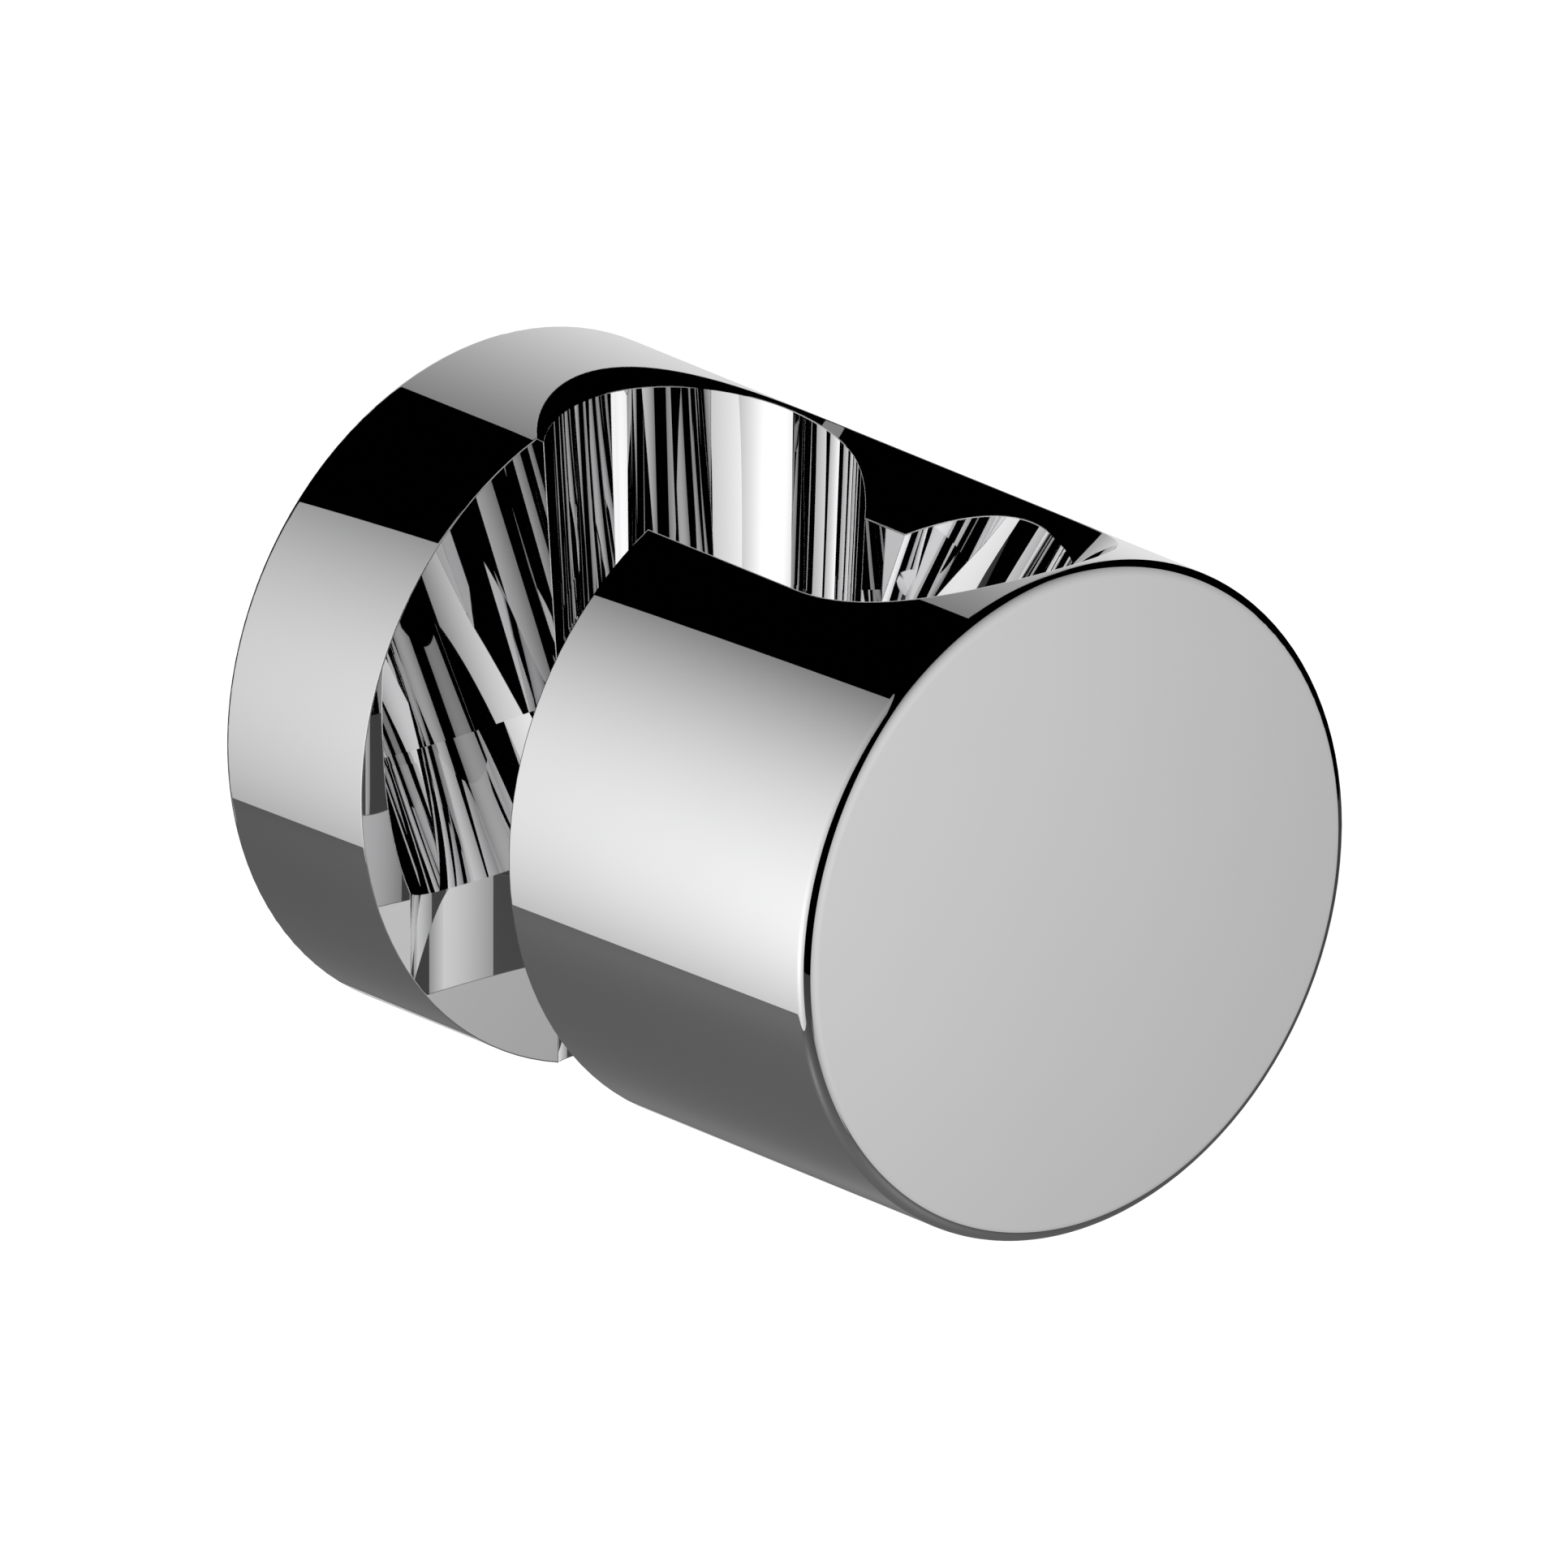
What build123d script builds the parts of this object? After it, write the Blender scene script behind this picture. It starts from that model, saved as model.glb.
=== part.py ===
# Wall holder for a hand shower, with an upright seat and a seat that leans forward.
#
# Frame: +Z up, the wall is the plane y = 0 and the holder stands out from it towards -Y.
# The origin is on the body's axis, in the wall plane. The hose goes in from the left, at -X.

import os
from math import cos, radians, sin, tan

from build123d import *

# Body
body_radius = 25.0
body_length = 64.0
front_edge_round = 1.1
back_edge_round = 0.4

# Hose slot, open to the left over the body's whole height
slot_to_wall = 15.0
slot_width = 16.25

# Conical seats, with their large radius measured at the height of the body's top
upright_seat_radius = 11.6
upright_seat_taper = 2.8
upright_throat_radius = 10.6
tilted_seat_radius = 11.5
tilted_seat_taper = 3.75
tilted_throat_radius = 9.3
seat_tilt = 30.0
seat_spacing = 24.4

# Sloped lead-in round both seats, measured at the height of the body's top
lead_in_half_width = 15.3
lead_in_angle = 45.0
lead_in_to_wall = 10.2
lead_in_to_front = 1.25

# Recess in the back, and the wall plate in it
recess_wall = 6.0
recess_depth = 8.0
recess_edge_chamfer = 0.4
plate_clearance = 0.15
plate_gap = 0.3
plate_edge_chamfer = 0.5
plate_hole_spacing = 24.0
plate_hole_radius = 2.6
plate_countersink_radius = 4.8
countersink_angle = 90.0

# Set screw, M5, from below
screw_radius = 2.5
screw_length = 6.0
screw_to_wall = 4.0
screw_tip_radius = 0.4
screw_foot_chamfer = 0.3
point_clearance = 0.1
thread_clearance = 0.05
socket_across_flats = 2.5
socket_depth = 2.5
groove_depth = 1.0

# Values worked out from those above
cut_margin = 2.0
top = body_radius
upright_y = -(slot_to_wall + slot_width / 2)
tilted_y = upright_y - seat_spacing
channel_half_width = slot_width / 2
lead_in_slope = tan(radians(lead_in_angle))
lead_in_back_y = -(lead_in_to_wall + lead_in_half_width)
lead_in_front_y = -(body_length - lead_in_to_front - lead_in_half_width)
recess_radius = body_radius - recess_wall
plate_radius = recess_radius - plate_clearance
plate_thickness = recess_depth - plate_gap
groove_bottom = -(plate_radius - groove_depth)
seat_crossing_height = top - seat_spacing / tan(radians(seat_tilt))

os.makedirs("parts", exist_ok=True)


def seat_section(seat_plane, seat_radius, seat_taper, throat_radius, length_above, length_below):
    """Half section of a seat: its cone above and its throat below, along the plane's Y axis."""
    seat_slope = tan(radians(seat_taper))
    seat_depth = (seat_radius - throat_radius) / seat_slope
    with BuildSketch(seat_plane) as section:
        with BuildLine():
            Polyline(
                (0, -length_below),
                (throat_radius, -length_below),
                (throat_radius, -seat_depth),
                (seat_radius + length_above * seat_slope, length_above),
                (0, length_above),
                close=True,
            )
        make_face()
    return section.sketch


# Upright seat, with the throat that lets the hose out at the bottom
upright_plane = Plane(origin=(0, upright_y, top), x_dir=(1, 0, 0), z_dir=(0, -1, 0))
with BuildPart() as upright_seat:
    revolve(
        seat_section(
            upright_plane,
            upright_seat_radius,
            upright_seat_taper,
            upright_throat_radius,
            cut_margin,
            top + body_radius + cut_margin,
        ),
        axis=Axis(upright_plane.origin, upright_plane.y_dir),
    )

# Tilted seat, which runs back down into the upright throat and stops at its axis
tilted_plane = Plane(
    origin=(0, tilted_y, top),
    x_dir=(1, 0, 0),
    z_dir=(0, -cos(radians(seat_tilt)), -sin(radians(seat_tilt))),
)
with BuildPart() as tilted_seat:
    revolve(
        seat_section(
            tilted_plane,
            tilted_seat_radius,
            tilted_seat_taper,
            tilted_throat_radius,
            tilted_seat_radius * tan(radians(seat_tilt)) + cut_margin,
            (top + body_radius) / cos(radians(seat_tilt)),
        ),
        axis=Axis(tilted_plane.origin, tilted_plane.y_dir),
    )
    split(bisect_by=Plane.XZ.offset(-upright_y), keep=Keep.TOP)

# Channel between the seats, through which the hose moves from one to the other
with BuildPart() as channel:
    with BuildSketch(Plane.YZ):
        with BuildLine():
            Polyline(
                (upright_y, top + cut_margin),
                (tilted_y - cut_margin * tan(radians(seat_tilt)), top + cut_margin),
                (upright_y, seat_crossing_height),
                close=True,
            )
        make_face()
    extrude(amount=channel_half_width, both=True)

# Lead-in: a long hole with sloped walls, down to where it is as wide as the channel
with BuildPart() as lead_in:
    with BuildSketch(Plane.XY.offset(top + cut_margin)):
        with Locations((0, (lead_in_back_y + lead_in_front_y) / 2)):
            SlotCenterToCenter(
                lead_in_back_y - lead_in_front_y,
                2 * (lead_in_half_width + cut_margin / lead_in_slope),
                rotation=90,
            )
    extrude(
        amount=-(cut_margin + (lead_in_half_width - channel_half_width) * lead_in_slope),
        taper=90 - lead_in_angle,
    )

# Body
with BuildPart() as holder_body:
    with BuildSketch(Plane.XZ):
        Circle(body_radius)
    extrude(amount=body_length)
    fillet(holder_body.edges().group_by(Axis.Y)[0], front_edge_round)
    fillet(holder_body.edges().group_by(Axis.Y)[-1], back_edge_round)

    # Recess for the wall plate
    with BuildSketch(Plane.XZ):
        Circle(recess_radius)
    extrude(amount=recess_depth, mode=Mode.SUBTRACT)
    recess_mouth = holder_body.edges().group_by(Axis.Y)[-1].sort_by(SortBy.RADIUS)[0]
    chamfer(recess_mouth, recess_edge_chamfer)

    # Hose slot
    with BuildSketch(Plane.XY.offset(-body_radius - cut_margin)):
        with Locations((-(body_radius + cut_margin) / 2, upright_y)):
            Rectangle(body_radius + cut_margin, slot_width)
    extrude(amount=2 * (body_radius + cut_margin), mode=Mode.SUBTRACT)

    # Seats, channel and lead-in
    for space in (upright_seat, tilted_seat, channel, lead_in):
        add(space.part, mode=Mode.SUBTRACT)

    # Tapped hole for the set screw
    with BuildSketch(Plane.XY.offset(-body_radius - cut_margin)):
        with Locations((0, -screw_to_wall)):
            Circle(screw_radius + thread_clearance)
    extrude(amount=body_radius + cut_margin - recess_radius + cut_margin, mode=Mode.SUBTRACT)

# Wall plate, turned, with a V groove for the set screw's point and two holes for wall screws
with BuildPart() as mounting_plate:
    with BuildSketch(Plane.YZ):
        with BuildLine():
            Polyline(
                (0, 0),
                (0, plate_radius - plate_edge_chamfer),
                (-plate_edge_chamfer, plate_radius),
                (-screw_to_wall + groove_depth, plate_radius),
                (-screw_to_wall, plate_radius - groove_depth),
                (-screw_to_wall - groove_depth, plate_radius),
                (-plate_thickness + plate_edge_chamfer, plate_radius),
                (-plate_thickness, plate_radius - plate_edge_chamfer),
                (-plate_thickness, 0),
                close=True,
            )
        make_face()
    revolve(axis=Axis.Y)
    with Locations(Plane.XZ.offset(plate_thickness)):
        with GridLocations(plate_hole_spacing, 0, 2, 1):
            CounterSinkHole(
                plate_hole_radius,
                plate_countersink_radius,
                counter_sink_angle=countersink_angle,
            )

# Set screw, upright under the plate, with its point up and its hexagon socket down
screw_tip_height = groove_bottom - point_clearance - screw_tip_radius
screw_foot_height = screw_tip_height - screw_length
with BuildPart() as set_screw:
    with BuildSketch(Plane.XZ.offset(screw_to_wall)):
        with BuildLine():
            Polyline(
                (0, screw_tip_height),
                (screw_tip_radius, screw_tip_height),
                (screw_radius, screw_tip_height - (screw_radius - screw_tip_radius)),
                (screw_radius, screw_foot_height + screw_foot_chamfer),
                (screw_radius - screw_foot_chamfer, screw_foot_height),
                (0, screw_foot_height),
                close=True,
            )
        make_face()
    revolve(axis=Axis((0, -screw_to_wall, 0), (0, 0, 1)))
    with BuildSketch(Plane.XY.offset(screw_foot_height)):
        with Locations((0, -screw_to_wall)):
            RegularPolygon(socket_across_flats / 2, 6, major_radius=False)
    extrude(amount=socket_depth, mode=Mode.SUBTRACT)

holder_body.part.label = "holder_body"
mounting_plate.part.label = "mounting_plate"
set_screw.part.label = "set_screw"

export_step(holder_body.part, "parts/holder_body.step")
export_step(mounting_plate.part, "parts/mounting_plate.step")
export_step(set_screw.part, "parts/set_screw.step")
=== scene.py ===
import math

import bpy
from bpy.props import FloatProperty, FloatVectorProperty, PointerProperty
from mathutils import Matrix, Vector


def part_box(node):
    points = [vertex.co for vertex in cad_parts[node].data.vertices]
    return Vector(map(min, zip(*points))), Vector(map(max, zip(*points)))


bl_info = {
    "name": "Hand shower holder",
    "version": (1, 0, 0),
    "blender": (4, 5, 0),
    "location": "View3D > Sidebar > Holder",
    "description": "Finishes for a chromed wall holder and the studio it is shown in",
    "category": "Material",
}

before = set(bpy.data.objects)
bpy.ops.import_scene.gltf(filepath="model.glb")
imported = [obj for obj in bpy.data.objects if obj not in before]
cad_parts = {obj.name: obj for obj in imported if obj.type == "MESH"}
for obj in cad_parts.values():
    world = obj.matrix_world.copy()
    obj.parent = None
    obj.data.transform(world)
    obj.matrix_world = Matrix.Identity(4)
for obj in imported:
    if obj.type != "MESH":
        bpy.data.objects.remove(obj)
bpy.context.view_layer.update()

# The body is round about the Y axis and centred on it, so half its width is its radius.
body_low, body_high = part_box("holder_body")
BODY_RADIUS = (body_high.x - body_low.x) / 2
BODY_LENGTH = body_high.y - body_low.y

FRONT_EDGE_ROUND = 0.0011
BACK_EDGE_ROUND = 0.0004

# The seats, each as (Y of its axis at the height of the body's top, lean in degrees, radius there,
# taper in degrees, throat radius)
UPRIGHT_SEAT = (-0.023125, 0.0, 0.0116, 2.8, 0.0106)
TILTED_SEAT = (-0.047525, 30.0, 0.0115, 3.75, 0.0093)

# The exact normal of a bore is used where the mesh is this close to the bore's wall and where the
# mesh's own normal is this much like it, as a cosine.
BORE_TOLERANCE = 0.00004
BORE_LIKENESS = 0.965

# How dark the cloudy places of each metal and of the floor are, as shares of the colour
CHROME_CLOUD_SHADE = (0.97, 0.97, 0.97)
BRASS_CLOUD_SHADE = (0.78, 0.70, 0.58)
STEEL_CLOUD_SHADE = (0.72, 0.72, 0.72)
FLOOR_CLOUD_SHADE = (0.985, 0.985, 0.985)

# Polish: how much clouds and hairline marks add to the blur, and how much finer the marks are
CLOUD_HAZE = 0.8
HAIRLINE_HAZE = 0.5
HAIRLINE_FINENESS = 9.0

# Turned brass: how fast the grooves change depth, and how much the ridges between them tarnish
GROOVE_CHANGE = 0.35
RIDGE_TARNISH = 0.25

BEVEL_SAMPLES = 8

UP = Vector((0.0, 0.0, 1.0))

# Studio, in body radii
TABLE_HEIGHT = -4.6
TENT_RADIUS = 16.0
TENT_HEIGHT = 22.0
TENT_SIDES = 24
TENT_GLOW_REACH = 4.0
FLOOR_HALF_WIDTH = 60.0
LAMP_WIDTH = 12.0
LAMP_PLACE = (-6.0, -8.0, 20.0)
VIEW_WIDTH = 4.4344
VIEW_DISTANCE = 40.0
VIEW_AIM_RIGHT = 0.8153
VIEW_AIM_UP = -0.3330
VIEW_CLIP_END = 4000.0

# Planes in which the lit panels stand: azimuth in degrees from +Y towards +X, distance from the axis
LEFT_PLANE = {"azimuth": -77.0, "distance": 3.75}
BACK_PLANE = {"azimuth": 50.0, "distance": 6.5}
FRONT_PLANE = {"azimuth": 155.6, "distance": 4.67}

# Painted pools of lamplight on the table card, each as (X, Y, reach, peak); the darker gaps between them
# are the holder's painted shadow
PAINTED_TABLE_LIGHT = (
    (0.0, 0.0, 16.5, 0.068), (-4.6, -1.2, 1.4, 0.17), (0.0, -4.6, 1.4, 0.11),
    (2.7, 2.0, 1.4, 0.12), (-5.7, 4.0, 2.0, 0.08), (3.3, 4.7, 2.0, 0.08))

# Light that the floor gives off by itself, so that it looks white, and the faint painted glow that the
# tent cloth gives off, brightest nearest the holder
FLOOR_GLOW = 0.32
TENT_GLOW = 0.002


# Properties

class HolderFinish(bpy.types.PropertyGroup):
    """Colours and gloss of the three metals."""

    chrome_colour: FloatVectorProperty(
        name="Chrome colour", description="Colour of the plated body's reflections",
        default=(0.90, 0.90, 0.905), min=0.0, max=1.0, size=3, subtype="COLOR")
    chrome_roughness: FloatProperty(
        name="Chrome roughness",
        description="Blur of the plated body's reflections where it is cleanest",
        default=0.006, min=0.0, max=1.0, subtype="FACTOR")
    edge_break: FloatProperty(
        name="Edge break", description="Radius over which the light turns at an edge",
        default=0.00015, min=0.0, max=0.002, precision=5, subtype="DISTANCE", unit="LENGTH")
    brass_colour: FloatVectorProperty(
        name="Brass colour", description="Colour of the turned wall plate",
        default=(0.80, 0.60, 0.33), min=0.0, max=1.0, size=3, subtype="COLOR")
    steel_colour: FloatVectorProperty(
        name="Steel colour", description="Colour of the set screw",
        default=(0.56, 0.55, 0.53), min=0.0, max=1.0, size=3, subtype="COLOR")
    turning_pitch: FloatProperty(
        name="Turning pitch",
        description="Distance between the fine grooves that the lathe leaves on the plate",
        default=0.00022, min=0.00005, max=0.002, precision=5, subtype="DISTANCE", unit="LENGTH")


class HolderStudio(bpy.types.PropertyGroup):
    """The floor, the light and the camera."""

    floor_colour: FloatVectorProperty(
        name="Floor colour", description="Colour of the plain floor",
        default=(0.90, 0.90, 0.90), min=0.0, max=1.0, size=3, subtype="COLOR")
    floor_drop: FloatProperty(
        name="Floor drop", description="Height of the holder's axis above the floor",
        default=0.14, min=0.03, max=2.0, subtype="DISTANCE", unit="LENGTH")
    sky_strength: FloatProperty(
        name="Room light", description="Strength of the white light from all round on matt surfaces",
        default=0.75, min=0.0, max=4.0)
    lamp_power: FloatProperty(
        name="Lamp power", description="Power of the overhead lamp that gives the floor its soft shadow",
        default=1.2, min=0.0, max=100.0, subtype="POWER", unit="POWER")
    view_azimuth: FloatProperty(
        name="View azimuth", description="Direction of the view about the vertical, from straight ahead",
        default=math.radians(-40.0), subtype="ANGLE", unit="ROTATION")
    view_elevation: FloatProperty(
        name="View elevation", description="Height of the view above the horizontal",
        default=math.radians(20.0), subtype="ANGLE", unit="ROTATION")


# Node helpers

def add_node(tree, kind, inputs=None, **settings):
    """A new node with its settings and inputs. An input is a plain value or another node's output."""
    node = tree.nodes.new(kind)
    for name, value in settings.items():
        setattr(node, name, value)
    for key, value in (inputs or {}).items():
        if isinstance(value, bpy.types.NodeSocket):
            tree.links.new(value, node.inputs[key])
        else:
            node.inputs[key].default_value = value
    return node


def math_node(tree, operation, *values):
    """The output of a Math node on plain values or other nodes' outputs."""
    return add_node(tree, "ShaderNodeMath", dict(enumerate(values)), operation=operation).outputs[0]


def vector_node(tree, operation, *vectors):
    """The output of a Vector Math node: a number if it measures its vectors, and a vector if not."""
    node = add_node(tree, "ShaderNodeVectorMath", dict(enumerate(vectors)), operation=operation)
    return node.outputs["Value" if operation in ("LENGTH", "DISTANCE", "DOT_PRODUCT") else "Vector"]


def scaled(tree, vector, factor):
    """A vector made longer or shorter by a factor."""
    return add_node(tree, "ShaderNodeVectorMath", {
        0: vector, "Scale": factor}, operation="SCALE").outputs["Vector"]


def mix_node(tree, kind, share, first, second):
    """The output of a Mix node between two colours, of kind RGBA, or two vectors, of kind VECTOR."""
    return add_node(tree, "ShaderNodeMix", {
        "Factor": share, "A": first, "B": second}, data_type=kind).outputs["Result"]


def y_of(tree, vector):
    """The Y part of a vector."""
    return add_node(tree, "ShaderNodeSeparateXYZ", {0: vector}).outputs["Y"]


def across_y(tree, vector):
    """A vector without its Y part."""
    return vector_node(tree, "MULTIPLY", vector, (1.0, 0.0, 1.0))


def world_normal(tree, direction):
    """A direction in the object's own frame, as a normal in the world's frame."""
    return add_node(tree, "ShaderNodeVectorTransform", {0: direction}, vector_type="NORMAL",
                    convert_from="OBJECT", convert_to="WORLD").outputs[0]


def new_group(name, inputs, outputs):
    """An empty shader group and its inside ends. Each of its sockets is (name, kind, default)."""
    tree = bpy.data.node_groups.new(name, "ShaderNodeTree")
    for direction, sockets in (("INPUT", inputs), ("OUTPUT", outputs)):
        for socket_name, kind, default in sockets:
            socket = tree.interface.new_socket(
                socket_name, in_out=direction, socket_type="NodeSocket" + kind)
            if default is not None:
                socket.default_value = default
    return tree, tree.nodes.new("NodeGroupInput"), tree.nodes.new("NodeGroupOutput")


def use_group(tree, group, inputs):
    """A group placed in a material with its own values."""
    return add_node(tree, "ShaderNodeGroup", inputs, node_tree=group)


def object_place(tree):
    """Where the shaded point is on the object, in metres."""
    return add_node(tree, "ShaderNodeTexCoord").outputs["Object"]


def soft_edge_normal(tree, radius):
    """The surface's normal, turned softly over sharp edges as if they were broken by this radius."""
    return add_node(tree, "ShaderNodeBevel", {"Radius": radius}, samples=BEVEL_SAMPLES).outputs[0]


def new_material(name):
    """A node material with nothing but its output."""
    material = bpy.data.materials.new(name)
    material.use_nodes = True
    material.node_tree.nodes.clear()
    output = add_node(material.node_tree, "ShaderNodeOutputMaterial")
    return material, material.node_tree, output


# Shared effects

def polish_group():
    """Fine unevenness of a polished metal: cloudy gloss, hairline marks and a faint swell."""
    tree, inside, outside = new_group(
        "Polish",
        [("Place", "Vector", None), ("Cloud size", "Float", 0.01), ("Roughness", "Float", 0.02),
         ("Roughness spread", "Float", 0.02), ("Swell", "Float", 0.00001), ("Normal", "Vector", None)],
        [("Roughness", "Float", None), ("Cloud", "Float", None), ("Normal", "Vector", None)])
    cloud_scale = math_node(tree, "DIVIDE", 1.0, inside.outputs["Cloud size"])
    clouds = add_node(tree, "ShaderNodeTexNoise", {
        "Vector": inside.outputs["Place"], "Scale": cloud_scale, "Detail": 3.0, "Roughness": 0.55})
    stretched = add_node(tree, "ShaderNodeMapping", {
        "Vector": inside.outputs["Place"], "Rotation": (0.4, 0.9, 0.3), "Scale": (1.0, 14.0, 1.0)})
    hairline_scale = math_node(tree, "MULTIPLY", cloud_scale, HAIRLINE_FINENESS)
    hairlines = add_node(tree, "ShaderNodeTexNoise", {
        "Vector": stretched.outputs[0], "Scale": hairline_scale, "Detail": 4.0, "Roughness": 0.7})
    fine = add_node(tree, "ShaderNodeMapRange", {
        "Value": hairlines.outputs[0], "From Min": 0.56, "From Max": 0.74, "To Min": 0.0, "To Max": 1.0})
    haze = math_node(tree, "ADD", math_node(tree, "MULTIPLY", clouds.outputs[0], CLOUD_HAZE),
                     math_node(tree, "MULTIPLY", fine.outputs[0], HAIRLINE_HAZE))
    rough = math_node(
        tree, "MULTIPLY_ADD", haze, inside.outputs["Roughness spread"], inside.outputs["Roughness"])
    bump = add_node(tree, "ShaderNodeBump", {
        "Strength": 1.0, "Distance": inside.outputs["Swell"], "Height": clouds.outputs[0],
        "Normal": inside.outputs["Normal"]})
    tree.links.new(rough, outside.inputs["Roughness"])
    tree.links.new(clouds.outputs[0], outside.inputs["Cloud"])
    tree.links.new(bump.outputs[0], outside.inputs["Normal"])
    return tree


def turning_group():
    """Fine grooves that a lathe leaves, as rings round the Y axis through the origin of the place."""
    tree, inside, outside = new_group(
        "Turning marks",
        [("Place", "Vector", None), ("Pitch", "Float", 0.0002), ("Depth", "Float", 0.000004),
         ("Normal", "Vector", None)],
        [("Ridge", "Float", None), ("Normal", "Vector", None)])
    radius = vector_node(tree, "LENGTH", across_y(tree, inside.outputs["Place"]))
    travel = math_node(tree, "ADD", radius, y_of(tree, inside.outputs["Place"]))
    turns = math_node(tree, "DIVIDE", travel, inside.outputs["Pitch"])
    uneven = add_node(tree, "ShaderNodeTexNoise", {
        "W": math_node(tree, "MULTIPLY", turns, GROOVE_CHANGE), "Scale": 1.0, "Detail": 2.0},
        noise_dimensions="1D")
    wave = math_node(tree, "SINE", math_node(tree, "MULTIPLY", turns, math.tau))
    raised_wave = math_node(tree, "MULTIPLY_ADD", wave, 0.5, 0.5)
    ridge = math_node(tree, "MULTIPLY", raised_wave, uneven.outputs[0])
    bump = add_node(tree, "ShaderNodeBump", {
        "Strength": 1.0, "Distance": inside.outputs["Depth"], "Height": ridge,
        "Normal": inside.outputs["Normal"]})
    tree.links.new(ridge, outside.inputs["Ridge"])
    tree.links.new(bump.outputs[0], outside.inputs["Normal"])
    return tree


def rim_group():
    """The exact normal of a rounded rim about the Y axis, in place of the mesh's own on that rim."""
    tree, inside, outside = new_group(
        "Rounded rim",
        [("Place", "Vector", None), ("Ring radius", "Float", 0.02), ("Ring Y", "Float", 0.0),
         ("Outward Y", "Float", 1.0), ("Normal", "Vector", None)],
        [("Normal", "Vector", None)])
    flat = across_y(tree, inside.outputs["Place"])
    radius = vector_node(tree, "LENGTH", flat)
    ring = scaled(tree, vector_node(tree, "NORMALIZE", flat), inside.outputs["Ring radius"])
    raised = add_node(tree, "ShaderNodeCombineXYZ", {"Y": inside.outputs["Ring Y"]}).outputs[0]
    centre = vector_node(tree, "ADD", ring, raised)
    spoke = vector_node(tree, "SUBTRACT", inside.outputs["Place"], centre)
    outward = math_node(tree, "MULTIPLY", y_of(tree, spoke), inside.outputs["Outward Y"])
    past_ring = math_node(tree, "GREATER_THAN", outward, 0.0)
    outside_ring = math_node(tree, "GREATER_THAN", radius, inside.outputs["Ring radius"])
    on_rim = math_node(tree, "MULTIPLY", past_ring, outside_ring)
    choice = mix_node(tree, "VECTOR", on_rim, inside.outputs["Normal"], world_normal(tree, spoke))
    tree.links.new(choice, outside.inputs["Normal"])
    return tree


def bore_group():
    """The exact normal of a bore that is a cone above and a cylinder below, in place of the mesh's
    own on that bore."""
    tree, inside, outside = new_group(
        "Smooth bore",
        [("Place", "Vector", None), ("Mouth", "Vector", None), ("Axis", "Vector", None),
         ("Mouth radius", "Float", 0.01), ("Slope", "Float", 0.05), ("Throat radius", "Float", 0.009),
         ("Normal", "Vector", None)],
        [("Normal", "Vector", None)])
    axis, slope = inside.outputs["Axis"], inside.outputs["Slope"]
    spoke = vector_node(tree, "SUBTRACT", inside.outputs["Place"], inside.outputs["Mouth"])
    height = vector_node(tree, "DOT_PRODUCT", spoke, axis)
    flat = vector_node(tree, "SUBTRACT", scaled(tree, axis, height), spoke)
    radius = vector_node(tree, "LENGTH", flat)
    cone_radius = math_node(tree, "MULTIPLY_ADD", height, slope, inside.outputs["Mouth radius"])
    in_cone = math_node(tree, "GREATER_THAN", cone_radius, inside.outputs["Throat radius"])
    wall_radius = math_node(tree, "MAXIMUM", cone_radius, inside.outputs["Throat radius"])
    on_wall = math_node(tree, "COMPARE", radius, wall_radius, BORE_TOLERANCE)
    rise = scaled(tree, axis, math_node(tree, "MULTIPLY", in_cone, slope))
    inward = vector_node(tree, "NORMALIZE", flat)
    smooth = world_normal(tree, vector_node(tree, "ADD", inward, rise))
    likeness = vector_node(tree, "DOT_PRODUCT", smooth, inside.outputs["Normal"])
    is_alike = math_node(tree, "GREATER_THAN", likeness, BORE_LIKENESS)
    on_bore = math_node(tree, "MULTIPLY", on_wall, is_alike)
    choice = mix_node(tree, "VECTOR", on_bore, inside.outputs["Normal"], smooth)
    tree.links.new(choice, outside.inputs["Normal"])
    return tree


def falloff_group():
    """How painted lamplight falls off on a glowing card: brightest at its hot spot, weaker with the
    square of the distance.
    """
    tree, inside, outside = new_group(
        "Painted lamplight falloff",
        [("Place", "Vector", None), ("Hot spot", "Vector", None), ("Reach", "Float", 0.1),
         ("Peak", "Float", 1.0)],
        [("Brightness", "Float", None)])
    distance = vector_node(tree, "DISTANCE", inside.outputs["Place"], inside.outputs["Hot spot"])
    share = math_node(tree, "POWER", math_node(tree, "DIVIDE", distance, inside.outputs["Reach"]), 2.0)
    brightness = math_node(tree, "DIVIDE", inside.outputs["Peak"], math_node(tree, "ADD", share, 1.0))
    tree.links.new(brightness, outside.inputs["Brightness"])
    return tree


def shared(name, build):
    """The group of that name, built the first time it is asked for."""
    return bpy.data.node_groups.get(name) or build()


# Metals

def shaded(colour, shares=(1.0, 1.0, 1.0)):
    """A colour with an alpha of 1, each of its channels brought down to a share."""
    return (*(part * share for part, share in zip(colour, shares)), 1.0)


def add_metal(tree, output, colour, cloud, cloud_shade, roughness, normal):
    """A metal's shader, whose colour goes over to a darker shade where cloud is 1."""
    tint = mix_node(tree, "RGBA", cloud, shaded(colour), shaded(colour, cloud_shade))
    shader = add_node(tree, "ShaderNodeBsdfPrincipled", {
        "Base Color": tint, "Metallic": 1.0, "Roughness": roughness, "Normal": normal})
    tree.links.new(shader.outputs[0], output.inputs["Surface"])


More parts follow.
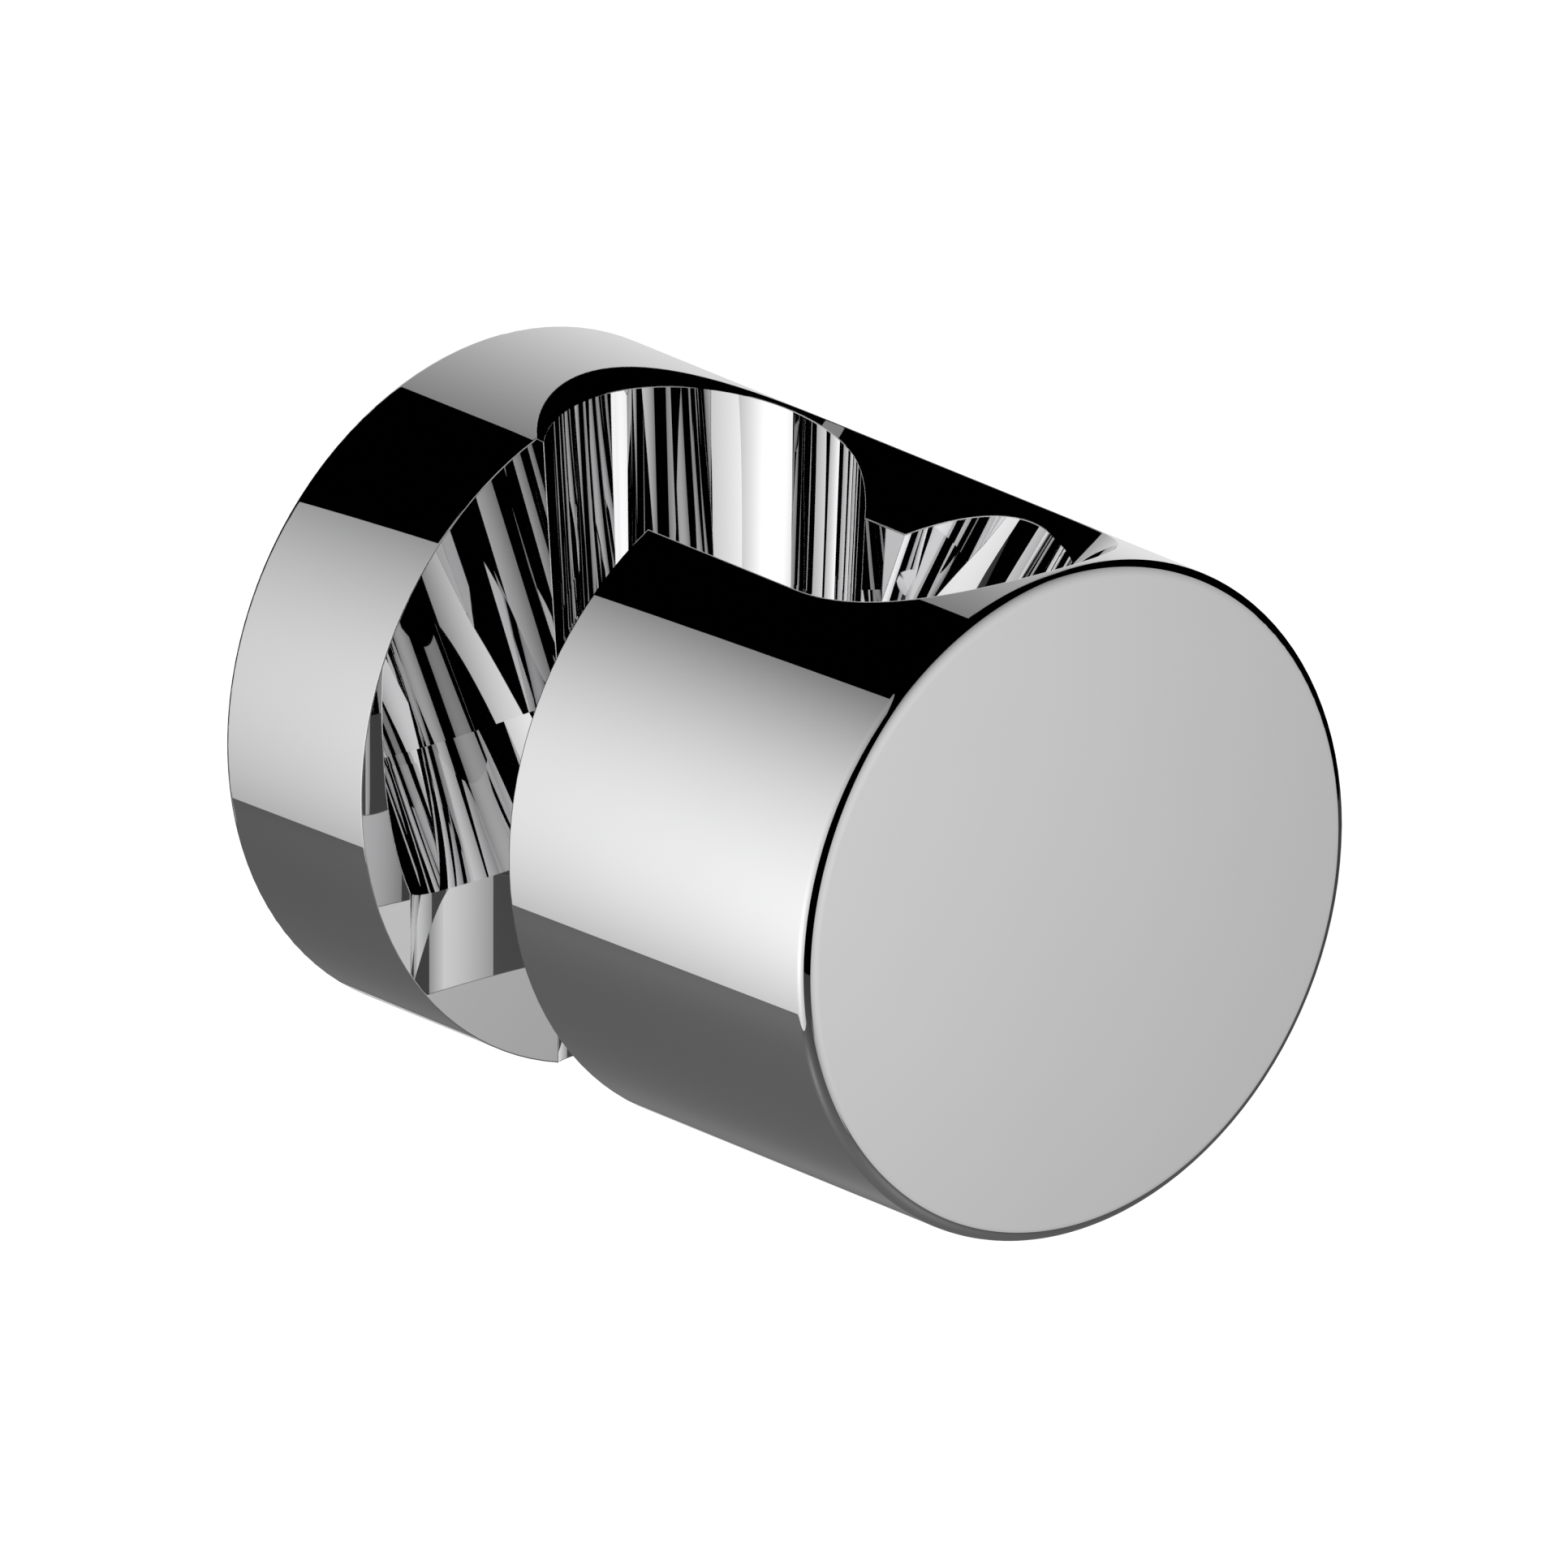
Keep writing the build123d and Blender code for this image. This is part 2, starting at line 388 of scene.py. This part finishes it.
def chrome_material(finish):
    """Mirror chrome over polished brass, with faint clouds in its gloss."""
    material, tree, output = new_material("chrome_plate")
    place = object_place(tree)
    normal = soft_edge_normal(tree, finish.edge_break)
    for edge_round, ring_y, outward in ((FRONT_EDGE_ROUND, FRONT_EDGE_ROUND - BODY_LENGTH, -1.0),
                                        (BACK_EDGE_ROUND, -BACK_EDGE_ROUND, 1.0)):
        normal = use_group(tree, shared("Rounded rim", rim_group), {
            "Place": place, "Ring radius": BODY_RADIUS - edge_round, "Ring Y": ring_y,
            "Outward Y": outward, "Normal": normal}).outputs["Normal"]
    for mouth_y, lean, mouth_radius, taper, throat_radius in (UPRIGHT_SEAT, TILTED_SEAT):
        turn = math.radians(lean)
        normal = use_group(tree, shared("Smooth bore", bore_group), {
            "Place": place, "Mouth": (0.0, mouth_y, BODY_RADIUS),
            "Axis": (0.0, -math.sin(turn), math.cos(turn)), "Mouth radius": mouth_radius,
            "Slope": math.tan(math.radians(taper)), "Throat radius": throat_radius,
            "Normal": normal}).outputs["Normal"]
    polish = use_group(tree, shared("Polish", polish_group), {
        "Place": place, "Cloud size": 0.012, "Roughness": finish.chrome_roughness,
        "Roughness spread": 0.012, "Swell": 0.0000012, "Normal": normal})
    add_metal(tree, output, finish.chrome_colour, polish.outputs["Cloud"], CHROME_CLOUD_SHADE,
              polish.outputs["Roughness"], polish.outputs["Normal"])
    return material


def brass_material(finish):
    """Bare turned brass with lathe rings and a slight tarnish."""
    material, tree, output = new_material("turned_brass")
    place = object_place(tree)
    polish = use_group(tree, shared("Polish", polish_group), {
        "Place": place, "Cloud size": 0.006, "Roughness": 0.22, "Roughness spread": 0.14,
        "Swell": 0.000004, "Normal": soft_edge_normal(tree, finish.edge_break)})
    turning = use_group(tree, shared("Turning marks", turning_group), {
        "Place": place, "Pitch": finish.turning_pitch, "Depth": 0.000006,
        "Normal": polish.outputs["Normal"]})
    tarnish = math_node(
        tree, "MULTIPLY_ADD", turning.outputs["Ridge"], RIDGE_TARNISH, polish.outputs["Cloud"])
    add_metal(tree, output, finish.brass_colour, tarnish, BRASS_CLOUD_SHADE,
              polish.outputs["Roughness"], turning.outputs["Normal"])
    return material


def steel_material(finish):
    """Plain stainless steel of the set screw."""
    material, tree, output = new_material("screw_steel")
    polish = use_group(tree, shared("Polish", polish_group), {
        "Place": object_place(tree), "Cloud size": 0.0016, "Roughness": 0.26, "Roughness spread": 0.16,
        "Swell": 0.000003, "Normal": soft_edge_normal(tree, finish.edge_break)})
    add_metal(tree, output, finish.steel_colour, polish.outputs["Cloud"], STEEL_CLOUD_SHADE,
              polish.outputs["Roughness"], polish.outputs["Normal"])
    return material


def dress_node(node, material):
    """Gives a CAD node one material, in every slot it has."""
    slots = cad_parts[node].material_slots
    if not slots:
        raise RuntimeError(f"{node} has no material slot")
    for slot in slots:
        slot.material = material


# Studio

def painted_light_card_material(name, lamps):
    """A plain card that glows by itself with painted lamplight, each lamp (hot spot, reach, peak).
    Places and reach are in body radii.
    """
    material, tree, output = new_material(name)
    brightness = 0.0
    for hot_spot, reach, peak in lamps:
        # Each hot spot is a painted pool of lamplight in the card's own glow
        falloff = use_group(tree, shared("Painted lamplight falloff", falloff_group), {
            "Place": object_place(tree), "Hot spot": Vector(hot_spot) * BODY_RADIUS,
            "Reach": reach * BODY_RADIUS, "Peak": peak})
        brightness = math_node(tree, "ADD", falloff.outputs["Brightness"], brightness)
    light = add_node(tree, "ShaderNodeEmission", {"Color": brightness})
    tree.links.new(light.outputs[0], output.inputs["Surface"])
    material.cycles.emission_sampling = "NONE"
    return material


def add_stage_mesh(name, corners, faces, material):
    """A flat-sided stage piece that only reflections see. Corners are in body radii."""
    mesh = bpy.data.meshes.new(name)
    mesh.from_pydata([Vector(corner) * BODY_RADIUS for corner in corners], [], faces)
    mesh.materials.append(material)
    piece = bpy.data.objects.new(name, mesh)
    bpy.context.scene.collection.objects.link(piece)
    piece.visible_camera = False
    piece.visible_diffuse = False
    piece.visible_shadow = False


def add_panel(name, azimuth, distance, sides, height, lamps):
    """An upright lit panel. Azimuth runs from +Y towards +X, and sides are measured along the panel
    from the foot of the line that joins it squarely to the axis. Each lamp is (side, height, reach,
    peak) of its hot spot. All lengths are in body radii."""
    turn = math.radians(azimuth)
    outward = Vector((math.sin(turn), math.cos(turn), 0.0)) * distance
    along = Vector((math.cos(turn), -math.sin(turn), 0.0))
    (left, right), (bottom, top) = sides, height
    material = painted_light_card_material(name, [
        (outward + along * side + UP * level, reach, peak) for side, level, reach, peak in lamps])
    corners = [outward + along * side + UP * level
               for side, level in ((left, bottom), (right, bottom), (right, top), (left, top))]
    add_stage_mesh(name, corners, [range(4)], material)


def add_cards():
    """What the chrome shows: three bright panels, three low cards for the inside of the slot, and a
    dark table, in a black tent."""
    front_lamps = [(2.31, -0.1, 4.37, 0.722)]
    add_panel("left_panel", **LEFT_PLANE, sides=(-4.2, 3.2), height=(-2.5, 7.1),
              lamps=[(-0.71, 0.18, 4.6, 0.83), (-1.84, -0.71, 1.12, 0.5)])
    add_panel("back_panel", **BACK_PLANE, sides=(-4.72, 2.37), height=(TABLE_HEIGHT, 9.9),
              lamps=[(2.9, -0.87, 7.87, 0.834)])
    add_panel("front_panel", **FRONT_PLANE, sides=(-1.2, 5.3), height=(-2.95, 6.4), lamps=front_lamps)
    add_panel("left_low_card", **LEFT_PLANE, sides=(3.2, 4.4), height=(-3.5, -2.5),
              lamps=[(3.0, -3.0, 1.9, 0.62)])
    add_panel("back_low_card", **BACK_PLANE, sides=(2.37, 5.0), height=(TABLE_HEIGHT, -2.8),
              lamps=[(1.2, -3.4, 3.6, 0.75)])
    add_panel("front_low_card", **FRONT_PLANE, sides=(3.2, 6.4), height=(-3.7, -2.95), lamps=front_lamps)
    # The table card glows with painted pools of lamplight and is darker where the holder's shadow is
    # painted between them
    table = painted_light_card_material("table_card", [
        ((side, depth, TABLE_HEIGHT), reach, peak) for side, depth, reach, peak in PAINTED_TABLE_LIGHT])
    # The black tent cloth gives off a faint painted glow round the holder
    tent = painted_light_card_material("tent_cloth", [((0.0, 0.0, 0.0), TENT_GLOW_REACH, TENT_GLOW)])
    ring = [Vector((math.cos(turn), math.sin(turn), 0.0)) * TENT_RADIUS
            for turn in (math.tau * step / TENT_SIDES for step in range(TENT_SIDES))]
    low = [point + UP * TABLE_HEIGHT for point in ring]
    high = [point + UP * TENT_HEIGHT for point in ring]
    walls = [(step, (step + 1) % TENT_SIDES, (step + 1) % TENT_SIDES + TENT_SIDES, step + TENT_SIDES)
             for step in range(TENT_SIDES)]
    add_stage_mesh("dark_table", low, [range(TENT_SIDES)], table)
    add_stage_mesh("black_tent", low + high, walls + [range(TENT_SIDES, 2 * TENT_SIDES)], tent)


def seen_by_eye(tree):
    """1 on rays from the camera, off mirrors or through glass, 0 on rays that light matt surfaces."""
    path = add_node(tree, "ShaderNodeLightPath")
    bent = math_node(tree, "MAXIMUM", path.outputs["Is Glossy Ray"], path.outputs["Is Transmission Ray"])
    return math_node(tree, "MAXIMUM", path.outputs["Is Camera Ray"], bent)


def add_floor(studio):
    """A plain pale floor that keeps the holder's shadow."""
    material, tree, output = new_material("pale_floor")
    paper = add_node(tree, "ShaderNodeTexNoise", {
        "Vector": object_place(tree), "Scale": 60.0, "Detail": 2.0})
    tint = mix_node(tree, "RGBA", paper.outputs[0], shaded(studio.floor_colour),
                    shaded(studio.floor_colour, FLOOR_CLOUD_SHADE))
    shader = add_node(tree, "ShaderNodeBsdfPrincipled", {
        "Base Color": tint, "Roughness": 0.9, "Specular IOR Level": 0.0,
        "Emission Color": (1.0, 1.0, 1.0, 1.0),
        "Emission Strength": math_node(tree, "MULTIPLY", seen_by_eye(tree), FLOOR_GLOW)})
    tree.links.new(shader.outputs[0], output.inputs["Surface"])
    material.cycles.emission_sampling = "NONE"

    half = FLOOR_HALF_WIDTH * BODY_RADIUS
    corners = [(-half, -half, 0), (half, -half, 0), (half, half, 0), (-half, half, 0)]
    mesh = bpy.data.meshes.new("floor")
    mesh.from_pydata(corners, [], [range(4)])
    mesh.materials.append(material)
    floor = bpy.data.objects.new("floor", mesh)
    floor.location.z = -studio.floor_drop
    bpy.context.scene.collection.objects.link(floor)


def add_world(studio):
    """White to the camera and in reflections, and a little weaker as light on matt surfaces."""
    world = bpy.data.worlds.new("white_room")
    world.use_nodes = True
    tree = world.node_tree
    tree.nodes.clear()
    strength = math_node(
        tree, "MULTIPLY_ADD", seen_by_eye(tree), 1.0 - studio.sky_strength, studio.sky_strength)
    background = add_node(tree, "ShaderNodeBackground", {
        "Color": (1.0, 1.0, 1.0, 1.0), "Strength": strength})
    output = add_node(tree, "ShaderNodeOutputWorld")
    tree.links.new(background.outputs[0], output.inputs["Surface"])
    bpy.context.scene.world = world


def add_lamp(studio):
    """A soft overhead lamp for the floor's shadow. Reflections don't show it."""
    light = bpy.data.lights.new("overhead_lamp", "AREA")
    light.shape = "DISK"
    light.size = LAMP_WIDTH * BODY_RADIUS
    light.energy = studio.lamp_power
    lamp = bpy.data.objects.new("overhead_lamp", light)
    lamp.location = Vector(LAMP_PLACE) * BODY_RADIUS
    lamp.rotation_euler = lamp.location.to_track_quat("Z", "Y").to_euler()
    lamp.visible_glossy = False
    bpy.context.scene.collection.objects.link(lamp)


def add_camera(studio):
    """A camera without perspective, at the photograph's angle and framing."""
    azimuth, elevation = studio.view_azimuth, studio.view_elevation
    ahead = Vector((math.sin(azimuth), -math.cos(azimuth), 0.0))
    towards_camera = ahead * math.cos(elevation) + UP * math.sin(elevation)
    right = Vector((math.cos(azimuth), math.sin(azimuth), 0.0))
    up = towards_camera.cross(right)
    aim = (VIEW_AIM_RIGHT * right + VIEW_AIM_UP * up) * BODY_RADIUS
    data = bpy.data.cameras.new("camera")
    data.type = "ORTHO"
    data.ortho_scale = VIEW_WIDTH * BODY_RADIUS
    data.clip_end = VIEW_CLIP_END * BODY_RADIUS
    camera = bpy.data.objects.new("camera", data)
    camera.location = aim + towards_camera * VIEW_DISTANCE * BODY_RADIUS
    camera.rotation_euler = towards_camera.to_track_quat("Z", "Y").to_euler()
    bpy.context.scene.collection.objects.link(camera)
    bpy.context.scene.camera = camera


# Operators

class HOLDER_OT_body(bpy.types.Operator):
    """Gives the body its mirror chrome"""

    bl_idname = "holder.body"
    bl_label = "Chrome the body"

    def execute(self, context):
        dress_node("holder_body", chrome_material(context.scene.holder_finish))
        return {"FINISHED"}


class HOLDER_OT_plate(bpy.types.Operator):
    """Gives the wall plate its turned brass"""

    bl_idname = "holder.plate"
    bl_label = "Finish the wall plate"

    def execute(self, context):
        dress_node("mounting_plate", brass_material(context.scene.holder_finish))
        return {"FINISHED"}


class HOLDER_OT_screw(bpy.types.Operator):
    """Gives the set screw its steel"""

    bl_idname = "holder.screw"
    bl_label = "Finish the set screw"

    def execute(self, context):
        dress_node("set_screw", steel_material(context.scene.holder_finish))
        return {"FINISHED"}


class HOLDER_OT_studio(bpy.types.Operator):
    """Sets up the floor, the cards, the light and the camera"""

    bl_idname = "holder.studio"
    bl_label = "Set up the studio"

    def execute(self, context):
        studio = context.scene.holder_studio
        add_floor(studio)
        add_cards()
        add_world(studio)
        add_lamp(studio)
        add_camera(studio)
        context.scene.view_settings.view_transform = "Standard"
        return {"FINISHED"}


OPERATORS = (HOLDER_OT_body, HOLDER_OT_plate, HOLDER_OT_screw, HOLDER_OT_studio)


class HOLDER_PT_panel(bpy.types.Panel):
    """The holder's pieces and its studio"""

    bl_label = "Hand shower holder"
    bl_space_type = "VIEW_3D"
    bl_region_type = "UI"
    bl_category = "Holder"

    def draw(self, context):
        for settings in (context.scene.holder_finish, context.scene.holder_studio):
            for name in settings.bl_rna.properties.keys():
                if name not in ("rna_type", "name"):
                    self.layout.prop(settings, name)
        for operator in OPERATORS:
            self.layout.operator(operator.bl_idname)


CLASSES = (HolderFinish, HolderStudio, *OPERATORS, HOLDER_PT_panel)


def register():
    for cls in CLASSES:
        bpy.utils.register_class(cls)
    bpy.types.Scene.holder_finish = PointerProperty(type=HolderFinish)
    bpy.types.Scene.holder_studio = PointerProperty(type=HolderStudio)


def unregister():
    del bpy.types.Scene.holder_studio
    del bpy.types.Scene.holder_finish
    for cls in reversed(CLASSES):
        bpy.utils.unregister_class(cls)


def main():
    """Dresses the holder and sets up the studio."""
    register()
    bpy.ops.holder.body()
    bpy.ops.holder.plate()
    bpy.ops.holder.screw()
    bpy.ops.holder.studio()


if __name__ == "__main__":
    main()
